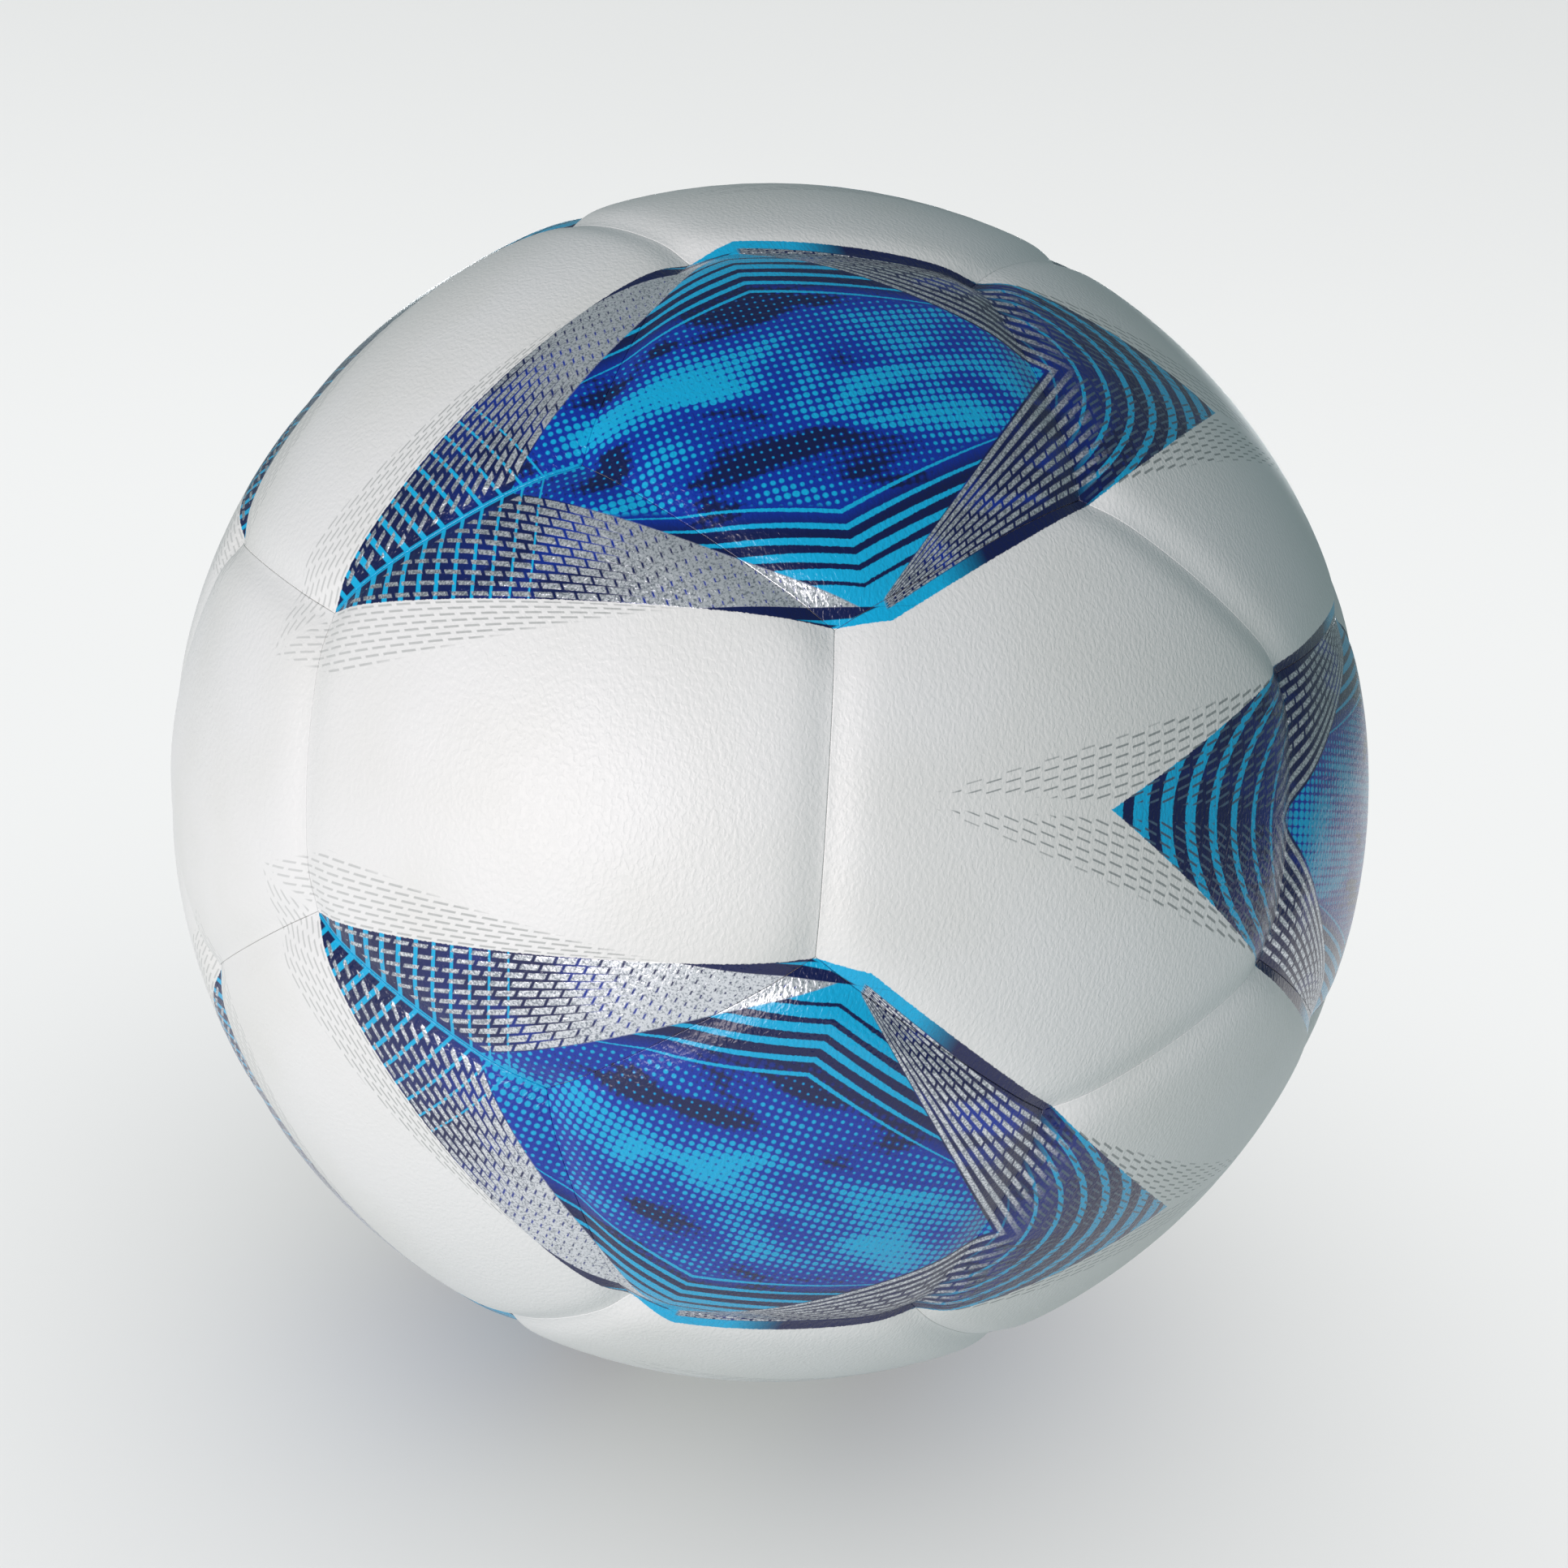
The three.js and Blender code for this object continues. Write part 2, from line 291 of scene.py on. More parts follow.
# Where a point of the cover lies in the motif of its own pentagon, and in the motif from the other pole
def foldCover(paint, unit):
    x, y, up = (paint.dot(unit, axis) for axis in ballAxes)
    turn = y.apply("ARCTAN2", x)
    spread = (1 - up * up).atLeast(0).apply("SQRT")
    latitude = math.atan(0.5)
    folds = []
    for shift, sign, firstNumber in ((0, 1, 0), (fifth / 2, -1, 6)):
        around = (turn - shift).apply("WRAP", fifth / 2, -fifth / 2)
        out = spread * around.apply("COSINE")
        aside = spread * around.apply("SINE")
        height = up * sign
        near = out * math.cos(latitude) + height * math.sin(latitude)
        number = ((turn - shift) / fifth + 0.5).whole().apply("FLOORED_MODULO", 5) + firstNumber
        folds.append((paint.point(out, aside, height), near, number))
    (upper, upperNear, upperNumber), (lower, lowerNear, lowerNumber) = folds
    isUpper = upperNear > lowerNear
    mine = paint.eitherPoint(lower, upper, isUpper)
    other = paint.eitherPoint(upper, lower, isUpper)
    number = lowerNumber + isUpper * (upperNumber - lowerNumber)
    return mine, other, number, paint.point(x, y, up)


# Distances out and aside of a folded point, and the point itself on the side where aside is positive
def motifPlace(paint, folded):
    split = paint.node("ShaderNodeSeparateXYZ", {}, {0: folded})
    x, y, z = (Flow(paint, split.outputs[i]) for i in range(3))
    out = x.apply("ARCTAN2", z) * ballRadius
    aside = y.apply("ARCSINE") * ballRadius
    return out, aside, paint.point(x, abs(y), z)


# A point of the cover on its motif, with its distances in from the printed edges and folds
class PrintPlace:
    def __init__(self, paint, folded, number, ballPlace):
        self.out, self.aside, oneSide = motifPlace(paint, folded)
        self.apart = abs(self.aside)
        self.number = number

        def inFrom(first, second, towards=motif["middle"]):
            return paint.dot(oneSide, motifPlane(first, second, towards)) * ballRadius

        self.nearEdge = inFrom(motif["tip"], motif["side"])
        sideEdge = inFrom(motif["side"], motif["corner"])
        backEdge = inFrom(motif["corner"], motif["hip"])
        farEdge = inFrom(motif["hip"], motif["farTip"])
        self.inside = self.nearEdge.atMost(sideEdge).atMost(backEdge.atMost(farEdge))
        self.nearFold = inFrom(*motif["fold"], motif["side"])
        self.farFold = inFrom(*motif["farFold"], motif["hip"])
        self.stripEdge = inFrom(*motif["strip"])
        self.speck = paint.noise(ballPlace, ballRadius / motif["speck"], 1.0)

    # How far a printed edge strays at this point
    def stray(self, amount):
        return (self.speck - 0.5) * amount


# Distance from the nearest of a row of lines
def fromLines(place, first, pitch):
    return abs(((place - first) / pitch + 0.5).fraction() - 0.5) * pitch


# Every other row is moved half a dash along
def rowShift(row):
    return (row.whole() * 0.5).fraction()


# ---- halftone: clouds of tone drawn out along the motif, printed as dots
clouds = {"long": 17, "wide": 8, "apart": 3.7, "detail": 2.0, "roughness": 0.45, "distortion": 0.5}
comet = {"aside": 3.0, "from": 84, "drift": 0.03, "half": (82, 125, 2.6, 8.0), "edge": (0.3, 1.3, 1, 0),
         "start": (80, 88), "end": (96, 128, 1, 0), "gain": 0.24}
farGlow = {"middle": 140, "long": 260, "wide": 150, "edge": (0.25, 1.6, 1, 0), "gain": 0.17}
halftone = {
    "pitch": 1.27, "rough": 0.05,
    "cyanSize": (0.40, 0.96, 0.12, 0.74), "cyanSoft": 0.16, "cyanStart": (69, 75),
    "cyanEnd": (156, 170, 1, 0),
    "royalSize": (0.34, 0.52, 0.10, 0.78), "royalLift": 0.03, "royalSoft": 0.3,
    "fadeFrom": 13, "fade": 0.012,       # the tone falls away beyond this distance aside
}


def cloudTone(paint, place):
    out, aside = place.out, place.aside
    cloudPlace = paint.point(out / clouds["long"], aside / clouds["wide"], place.number * clouds["apart"])
    cloud = paint.noise(cloudPlace, 1.0, clouds["detail"], clouds["roughness"], clouds["distortion"])
    middle = abs(aside - comet["aside"] - (out - comet["from"]) * comet["drift"])
    tail = (middle / out.ramp(*comet["half"])).rise(*comet["edge"])
    tail = tail * out.rise(*comet["start"]) * out.rise(*comet["end"])
    ahead = out - farGlow["middle"]
    glow = (ahead * ahead / farGlow["long"] + aside * aside / farGlow["wide"]).rise(*farGlow["edge"])
    tone = cloud + tail * comet["gain"] + glow * farGlow["gain"]
    tone = tone - (place.apart - halftone["fadeFrom"]).atLeast(0) * halftone["fade"]
    return cloud, tone + place.stray(halftone["rough"])


def halftoneDots(place, tone):
    gridX = (place.out / halftone["pitch"]).fraction() - 0.5
    gridY = (place.aside / halftone["pitch"]).fraction() - 0.5
    fromDot = (gridX * gridX + gridY * gridY).apply("SQRT")
    cyanSize = tone.ramp(*halftone["cyanSize"]) * place.out.rise(*halftone["cyanStart"])
    royalSize = (tone + halftone["royalLift"]).rise(*halftone["royalSize"])
    cyanDots = (cyanSize - fromDot).above(0, halftone["cyanSoft"])
    royalDots = (royalSize - fromDot).above(0, halftone["royalSoft"])
    return cyanDots, royalDots


# ---- bright chevrons in the middle of the motif, which thicken towards the side corner
chevrons = {
    "kink": 115.0, "slope": 0.30, "first": 21.2, "pitch": 2.4, "rough": 0.25,
    "field": (20.3, 0.8), "fieldDark": (20, 25), "start": (20.4, 0.2), "solid": (33.6, 0.3),
    "half": (21, 34, 0.30, 1.05), "taper": (4, 30, 1.0, 0.25),
    "end": (126, 134, 1, 0), "endInner": (33, 1), "fade": (140, 150, 1, 0),
}


def chevronLines(place, height):
    facts = chevrons
    fromLine = fromLines(height, facts["first"], facts["pitch"])
    half = height.ramp(*facts["half"]) * abs(place.out - facts["kink"]).ramp(*facts["taper"])
    lines = fromLine.below(half + place.stray(facts["rough"]), motif["lineSoft"])
    lines = (lines * height.above(*facts["start"])).atLeast(height.above(*facts["solid"]))
    ends = place.out.ramp(*facts["end"]).atLeast(height.below(*facts["endInner"]))
    return lines * (ends * place.out.rise(*facts["fade"]))


# ---- near tip: dark ground, with bright ribs that lean back from a bright spine
ribs = {
    "first": 45.0, "pitch": 3.27, "lean": 0.30, "bow": 0.006, "half": (42, 78, 0.65, 0.16),
    "start": (41.5, 0.3), "end": (80.0, 1.5), "field": (80, 6), "fieldEnd": (118, 1), "foldSoft": 0.2,
    "ground": (54, 84, 0.0, 0.8), "groundCloud": (0.42, 0.62),
}
spine = {"half": 0.42, "start": (38.9, 0.3), "end": (83.0, 0.6), "strength": 0.85}


def ribLines(place):
    spot = place.out + place.apart * ribs["lean"] + place.apart * place.apart * ribs["bow"]
    lines = fromLines(spot, ribs["first"], ribs["pitch"]).below(spot.ramp(*ribs["half"]), motif["lineSoft"])
    return lines * spot.above(*ribs["start"]) * spot.below(*ribs["end"])


def spineLine(place):
    line = place.apart.below(spine["half"], motif["lineSoft"])
    return line * place.out.above(*spine["start"]) * place.out.below(*spine["end"]) * spine["strength"]


# ---- silver dashes laid like bricks, closing to solid silver towards the side corner
bricks = {
    "pitch": 2.85, "rows": 11, "leastWidth": 0.5, "closing": (58, 100), "solid": (0.55, 1.0),
    "thick": (0, 1, 0.17, 0.60), "thickSoft": 0.10,      # share of a row, as the wall closes
    "long": (0, 1, 0.39, 0.46), "longSoft": 0.06,
    "holeThick": (0.36, 0.2), "holeLong": (70, 108, 0.38, 0.47), "holeSoft": 0.04,
    "holeWorn": (84, 106, 0.3, 0.62), "holeWornSoft": 0.1, "holeLift": 0.1,      # closed one by one
    "fold": (0.0, 0.25), "end": (117.5, 0.5), "start": (1.5, 0.2),
}


def brickWall(place):
    facts = bricks
    out = place.out
    width = (place.nearFold + place.nearEdge).atLeast(facts["leastWidth"])
    row = place.nearFold / width * facts["rows"]
    along = abs((out / facts["pitch"] + rowShift(row)).fraction() - 0.5)
    across = abs(row.fraction() - 0.5)
    closing = out.rise(*facts["closing"])
    silver = across.below(closing.ramp(*facts["thick"]), facts["thickSoft"])
    silver = silver * along.below(closing.ramp(*facts["long"]), facts["longSoft"])
    holes = across.below(*facts["holeThick"]) * along.above(out.ramp(*facts["holeLong"]), facts["holeSoft"])
    worn = out.ramp(*facts["holeWorn"])
    holes = holes * (place.speck + facts["holeLift"]).above(worn, facts["holeWornSoft"])
    silver = silver.atLeast(closing.ramp(*facts["solid"]) * (1 - holes))
    silver = silver * place.nearFold.above(*facts["fold"]) * out.below(*facts["end"])
    return silver * place.apart.above(*facts["start"]), closing


# ---- a dark sliver along the outline before the side corner, with bright lines in it
sliver = {"start": (92, 0.5), "slope": 0.15, "outer": (104, 0.2), "inner": (103, 0.07),
          "corner": (109, 0.5), "cornerSoft": 0.2}


# How far in from the outline a sliver reaches that opens from a point, with a given slope
def sliverReach(place, start, slope):
    return (place.out - start) * slope


def outlineSliver(place):
    edge, soft = place.nearEdge, motif["lineSoft"]
    dark = edge.below(sliverReach(place, sliver["start"][0], sliver["slope"]), soft)
    dark = dark * place.out.above(*sliver["start"])
    line = edge.below(sliverReach(place, *sliver["outer"]), soft)
    line = line * edge.above(sliverReach(place, *sliver["inner"]), soft)
    corner = edge.below(sliverReach(place, *sliver["corner"]), sliver["cornerSoft"])
    return dark, line.atLeast(corner) * dark


# ---- the other silver fan: lines from the side corner, broken into dashes away from the fold
farFan = {
    "lines": 9, "leastWidth": 0.4, "edgeSoft": 0.2, "start": (117.5, 0.6), "end": (152, 162, 1, 0.0),
    "dash": 2.8, "filled": (0.42, 0.06), "whole": (2.6, 0.6), "half": (120, 156, 0.36, 0.2),
    "halfSoft": 0.12, "ground": (0.5, 0.72),
}


def farFanLines(place):
    facts = farFan
    width = (place.farFold + place.stripEdge).atLeast(facts["leastWidth"])
    row = place.farFold / width * facts["lines"]
    field = place.farFold.above(0, facts["edgeSoft"]) * place.stripEdge.above(0, facts["edgeSoft"])
    field = field * place.out.above(*facts["start"])
    along = abs((place.out / facts["dash"] + rowShift(row)).fraction() - 0.5)
    broken = along.below(*facts["filled"]).atLeast(row.below(*facts["whole"]))
    lines = abs(row.fraction() - 0.5).below(place.out.ramp(*facts["half"]), facts["halfSoft"]) * broken
    return lines * field * place.out.rise(*facts["end"]), field


# ---- far tip: bright bands bowed towards the pentagon
bands = {
    "tip": 192.75, "pitch": 4.6, "bow": 0.036, "half": 1.5, "thinning": 0.165, "rough": 0.3,
    "start": (152, 160), "ground": (156, 172, 0.6, 0.0), "groundStrength": 0.8,
}


def bandLines(place):
    bowed = place.out + place.aside * place.aside * bands["bow"]
    band = (bands["tip"] - bowed) / bands["pitch"]
    fromBand = abs((band + 0.5).fraction() - 0.5) * bands["pitch"]
    half = bands["half"] - band * bands["thinning"]
    return fromBand.below(half + place.stray(bands["rough"]), motif["lineSoft"])


# ---- grey dashes in a fan beside and ahead of a motif's far tip
fanDashes = {
    "pitch": 2.8, "row": 1.35, "slope": 0.33, "apex": 216.4, "lift": 2.1, "bendFrom": 193, "bend": 0.004,
    "half": (160, 212, 0.23, 0.10), "halfSoft": 0.12, "filled": (0.38, 0.05),
    "edgeSoft": 0.5, "aside": (1.2, 0.3), "start": (150, 0.5),
}


def farDashes(out, apart):
    facts = fanDashes
    column = out / facts["pitch"]
    bend = (facts["bendFrom"] - out).atLeast(0)
    slanted = apart + (out - facts["apex"]) * facts["slope"] - bend * bend * facts["bend"]
    across = abs((slanted / facts["row"] + rowShift(column)).fraction() - 0.5) * facts["row"]
    dash = across.below(out.ramp(*facts["half"]), facts["halfSoft"])
    dash = dash * abs(column.fraction() - 0.5).below(*facts["filled"])
    edge = (facts["apex"] - out) * facts["slope"] + facts["lift"]
    field = (edge - apart).above(0, facts["edgeSoft"]) * apart.above(*facts["aside"])
    return dash * field * out.above(*facts["start"])


# ---- grey dashes beside the near tip, and ahead of it over the plain pentagon
tipDashes = {
    "pitch": 3.0, "row": 1.12, "narrow": (38, 90.0, 1.0, 0.45),
    "reachOut": (12.0, 38, 0.5, 10.4), "reachBack": (38, 90.0, 10.4, 0.0), "reachSoft": 0.6,
    "half": (15, 75, 0.13, 0.2), "halfSoft": 0.12, "filled": (0.37, 0.05),
    "edge": (0.25, 0.2), "aside": (0.6, 0.3), "faint": (18, 62, 0.3, 0.8),
}


def nearDashes(place):
    facts = tipDashes
    out, outside = place.out, -place.nearEdge
    reach = out.ramp(*facts["reachOut"]).atMost(out.ramp(*facts["reachBack"]))
    row = outside / (out.ramp(*facts["narrow"]) * facts["row"])
    dash = abs(row.fraction() - 0.5).below(out.ramp(*facts["half"]), facts["halfSoft"])
    along = abs((out / facts["pitch"] + rowShift(row)).fraction() - 0.5)
    dash = dash * along.below(*facts["filled"])
    field = outside.below(reach, facts["reachSoft"]) * outside.above(*facts["edge"])
    return dash * field * place.apart.above(*facts["aside"]) * out.ramp(*facts["faint"])


# ---- silver ink, leather grain and gloss
silverInk = {"flake": 0.34, "detail": (1.0, 0.6), "contrast": (0.38, 0.66), "closingLift": 0.12,
             "farFanShade": 0.1, "metal": 0.6, "relief": 0.5, "rough": 0.04}
leather = {
    "grain": 0.85,                       # size of the grain
    "squeeze": (1.0, 1.0, 1.75),         # finer along the ball's pole
    "detail": (1.0, 0.45, 0.3),          # detail, roughness and distortion
    "contrast": (0.32, 0.68),
    "depth": 0.000045,
    "depthWhite": 0.7,                   # share of that depth where nothing is printed
    "rough": 0.44, "roughPrinted": 0.26, "roughGrain": -0.06, "coat": 0.16, "coatRough": 0.2,
    "cloud": 3.0, "cloudContrast": (0.35, 0.7), "dashStrength": 0.85,
}


def coverMaterial():
    paint = Paint("printedCover")
    mine, other, number, ballPlace = foldCover(paint, paint.vector("NORMALIZE", paint.here()))
    place = PrintPlace(paint, mine, number, ballPlace)
    otherOut, otherAside, _ = motifPlace(paint, other)
    out = place.out

    def cover(under, ink, share):
        return paint.blend(under, inks[ink] if isinstance(ink, str) else ink, share)

    # the middle of the motif, between the two silver fans
    cloud, tone = cloudTone(paint, place)
    cyanDots, royalDots = halftoneDots(place, tone)
    height = place.apart + abs(out - chevrons["kink"]) * chevrons["slope"]
    dots = cyanDots * (1 - height.above(*chevrons["field"])) * out.rise(*halftone["cyanEnd"])
    colour = cover(inks["navy"], "royal", royalDots * (1 - height.rise(*chevrons["fieldDark"])))
    colour = cover(colour, "cyan", dots)
    colour = cover(colour, "cyan", chevronLines(place, height))

    # the near tip, with the bricks beside it
    inNearFan = place.nearFold.above(0, ribs["foldSoft"])
    beforeCorner = out.below(*ribs["fieldEnd"])
    ground = cover(inks["navy"], "royal", out.rise(*ribs["ground"]) * cloud.rise(*ribs["groundCloud"]))
    colour = cover(colour, ground, inNearFan * beforeCorner)
    ribField = out.below(*ribs["field"]).atLeast(inNearFan) * beforeCorner
    colour = cover(colour, "cyan", ribLines(place) * ribField)
    wall, closing = brickWall(place)
    dark, bright = outlineSliver(place)
    colour = cover(cover(colour, "navy", dark), "cyan", bright)

    # the far fan and the far tip
    fanLines, inFarFan = farFanLines(place)
    colour = cover(colour, cover(inks["navy"], "royal", cloud.rise(*farFan["ground"])), inFarFan)
    inBands = out.rise(*bands["start"])
    bandGround = cover(inks["navy"], "royal", out.rise(*bands["ground"]) * royalDots)
    colour = cover(colour, bandGround, inBands * bands["groundStrength"])
    colour = cover(colour, "cyan", bandLines(place) * inBands)
    slanting = farDashes(out, place.apart)
    colour = cover(colour, "slantDash", slanting * inBands)

    # silver over both fans, and the spine over all of it
    silver = (wall * (1 - dark)).atLeast(fanLines)
    flakes = paint.noise(ballPlace, ballRadius / silverInk["flake"], *silverInk["detail"])
    # painted shade: the silver in the far fan is made darker, on top of the flakes' own speckle
    flakesAndShade = flakes + closing * silverInk["closingLift"] - inFarFan * silverInk["farFanShade"]
    colour = cover(colour, cover(inks["silverDark"], "silver", flakesAndShade.rise(*silverInk["contrast"])), silver)
    colour = cover(colour, "cyan", spineLine(place))

    # the plain cover round the motifs
    whiteTone = paint.noise(ballPlace, leather["cloud"], 2.0)
    white = cover(inks["white"], "whiteWarm", whiteTone.rise(*leather["cloudContrast"]))
    white = cover(white, "paleDash", nearDashes(place))
    dashes = farDashes(otherOut, abs(otherAside)).atLeast(slanting)
    white = cover(white, "greyDash", dashes * leather["dashStrength"])
    printed = (place.inside + place.stray(motif["edgeRough"])).above(0, motif["edgeSoft"])

    squeezed = paint.vector("MULTIPLY", ballPlace, leather["squeeze"])
    grain = paint.noise(squeezed, ballRadius / leather["grain"], *leather["detail"])
    relief = grain.rise(*leather["contrast"])
    foil = silver * printed
    roughness = printed.ramp(0, 1, leather["rough"], leather["roughPrinted"]) + foil * silverInk["rough"]
    depth = relief * printed.ramp(0, 1, leather["depthWhite"], 1.0) + flakes * foil * silverInk["relief"]
    return paint.finish(
        Base_Color=cover(white, colour, printed),
        Roughness=roughness + (relief - 0.5) * leather["roughGrain"],
        Metallic=foil * silverInk["metal"],
        Coat_Weight=printed * leather["coat"],
        Coat_Roughness=leather["coatRough"],
        Specular_IOR_Level=0.5,
        Normal=paint.bump(depth, leather["depth"]),
    )


coverPaint = coverMaterial()
print("cover material:", len(coverPaint.node_tree.nodes), "nodes")


# ---- the cloth on the backs and sides of the panels
backing = {
    "shade": screenColour(188, 182, 168),
    "pale": screenColour(214, 209, 196),
    "tint": 60,
    "weave": 900,
    "depth": 0.0001,
    "rough": (0, 0.8, 0.8, 0.95),
}


def backingMaterial(facts):
    paint = Paint("panelBacking")
    place = paint.here()
    weave = paint.cells(place, facts["weave"])
    tint = paint.noise(place, facts["tint"], 3.0)
    return paint.finish(
        Base_Color=paint.blend(facts["shade"], facts["pale"], tint.rise(0.3, 0.7)),
        Roughness=weave.ramp(*facts["rough"]),
        Normal=paint.bump(weave, facts["depth"]),
    )


backingPaint = backingMaterial(backing)


# ---- panels, made as rings that run in from the seam, over the cover and then over the back
panelShape = {
    "gap": 0.015,              # half the gap between two panels
    "edgeRound": 0.14,         # radius of a panel's edge at the seam
    "valleyDepth": 1.15,       # how far the cover dips at a seam
    "valleyReach": 3.5,        # and how far in from the seam the dip is felt
    "valleyPower": 1.7,
    "rimHeight": 107.4,        # from the ball's centre
    "backHeight": 106.4,
    "sideSteps": 26,
    "insets": [0.015, 0.035, 0.07, 0.12, 0.2, 0.4, 0.7, 1.1, 1.6, 2.2, 2.9, 3.7, 4.6, 5.7, 7.2, 9.5, 12.5],
    "shares": [0.85, 0.68, 0.5, 0.33, 0.17],
    "backInsets": [1.5, 6],
    "backShares": [0.6, 0.25],
}
valveHole = {
    "radius": 4.7,
    "edgeRound": 0.5,
    "rings": [18, 14, 11, 8.5, 7, 6, 5.45, 5.1, 4.92, 4.8, 4.73, 4.7],
    "backRings": [12, 4.7],
}


# Unit directions of the twelve pentagons' centres, in the ball's own axes
def pentagonCentres():
    latitude = math.atan(0.5)
    rings = []
    for count, sign in ((0, 1), (0.5, -1)):
        for i in range(5):
            turn = fifth * (i + count)
            rings.append((math.cos(latitude) * math.cos(turn), math.cos(latitude) * math.sin(turn),
                          sign * math.sin(latitude)))
    return np.array([(0, 0, 1), *rings, (0, 0, -1)])


def unitRows(rows):
    return rows / np.linalg.norm(rows, axis=-1, keepdims=True)


# Corners in order around a centre, anticlockwise from outside
def inOrder(centre, corners):
    x = corners[0] - centre * corners[0].dot(centre)
    x /= np.linalg.norm(x)
    y = np.cross(centre, x)
    return corners[np.argsort(np.arctan2(corners @ y, corners @ x))]


# Direction a share of the way along the great circle from one corner to the next
def alongSeam(first, second, share):
    angle = math.acos(np.clip(first @ second, -1, 1))
    return (math.sin((1 - share) * angle) * first + math.sin(share * angle) * second) / math.sin(angle)


# Centre and corners of each panel: twelve pentagons, and a hexagon between every three of them
def panelLayout():
    centres = pentagonCentres()
    close = centres @ centres.T
    near = (close > 0.4) & (close < 0.9)          # neighbours' directions have a dot product of 0.447
    panels = []
    for i, centre in enumerate(centres):
        corners = unitRows(np.array([2 * centre + centres[j] for j in np.flatnonzero(near[i])]))
        panels.append((centre, inOrder(centre, corners)))
    for i in range(12):
        for j in range(i + 1, 12):
            for k in range(j + 1, 12):
                if near[i, j] and near[j, k] and near[i, k]:
                    trio = centres[[i, j, k]]
                    centre = unitRows(trio.sum(0))
                    corners = unitRows(np.array([2 * a + b for a in trio for b in trio if a is not b
                                                 and not np.allclose(a, b)]))
                    panels.append((centre, inOrder(centre, corners)))
    return [(centre @ ballAxes, corners @ ballAxes) for centre, corners in panels]


# How far the cover lies below the crown, from the distances to a panel's sides
def valleyDip(distances):
    shape = panelShape
    away = (np.maximum(distances, 0) / shape["valleyReach"]) ** shape["valleyPower"]
    soft = shape["valleyDepth"] * np.exp(-away)
    nearest = np.maximum(shape["edgeRound"] - (distances - shape["gap"]), 0).max(-1)
    roll = shape["edgeRound"] - np.sqrt(np.maximum(shape["edgeRound"] ** 2 - nearest ** 2, 0))
    return soft.sum(-1) + roll


def meshObject(name, points, faces, paints, faceSlots=None):
    mesh = bpy.data.meshes.new(name)
    mesh.from_pydata([tuple(p) for p in points], [], faces)
    for paint in paints:
        mesh.materials.append(paint)
    if faceSlots is not None:
        mesh.polygons.foreach_set("material_index", faceSlots)
    mesh.polygons.foreach_set("use_smooth", [True] * len(mesh.polygons))
    mesh.validate()
    made = bpy.data.objects.new(name, mesh)
    bpy.context.scene.collection.objects.link(made)
    return made


# Directions of a panel's rings, for its cover and its back
def panelRings(centre, corners, hole):
    shape = panelShape
    onSide, sideNormal = [], []
    for first, second in zip(corners, np.roll(corners, -1, axis=0)):
        normal = np.cross(first, second)
        normal /= np.linalg.norm(normal)
        for step in range(shape["sideSteps"]):
            onSide.append(alongSeam(first, second, step / shape["sideSteps"]))
            sideNormal.append(normal)
    onSide, sideNormal = np.array(onSide), np.array(sideNormal)

    # at a given distance in from the seam, on the way from each point of the seam to the centre
    def inward(inset):
        reach = sideNormal @ centre
        sine = inset / ballRadius
        along = onSide @ centre
        spread = reach ** 2 - sine ** 2
        pull = (sine ** 2 * along + sine * np.sqrt(sine ** 2 * along ** 2 + spread)) / spread
        return unitRows(onSide + pull[:, None] * centre)

    # at a given angle from the centre, on the same way
    def fromCentre(angle):
        flat = unitRows(onSide - (onSide @ centre)[:, None] * centre)
        angle = np.broadcast_to(angle, len(onSide))[:, None]
        return centre * np.cos(angle) + flat * np.sin(angle)

    cover = [inward(inset) for inset in shape["insets"]]
    back = [inward(inset) for inset in shape["backInsets"]]
    last = np.arccos(np.clip(cover[-1] @ centre, -1, 1))
    if hole:
        cover += [fromCentre(np.minimum(radius / ballRadius, last)) for radius in hole["rings"]]
        back += [fromCentre(np.minimum(radius / ballRadius, last)) for radius in hole["backRings"]]
    else:
        cover += [fromCentre(last * share) for share in shape["shares"]]
        back += [fromCentre(last * share) for share in shape["backShares"]]
    return np.array(cover), back


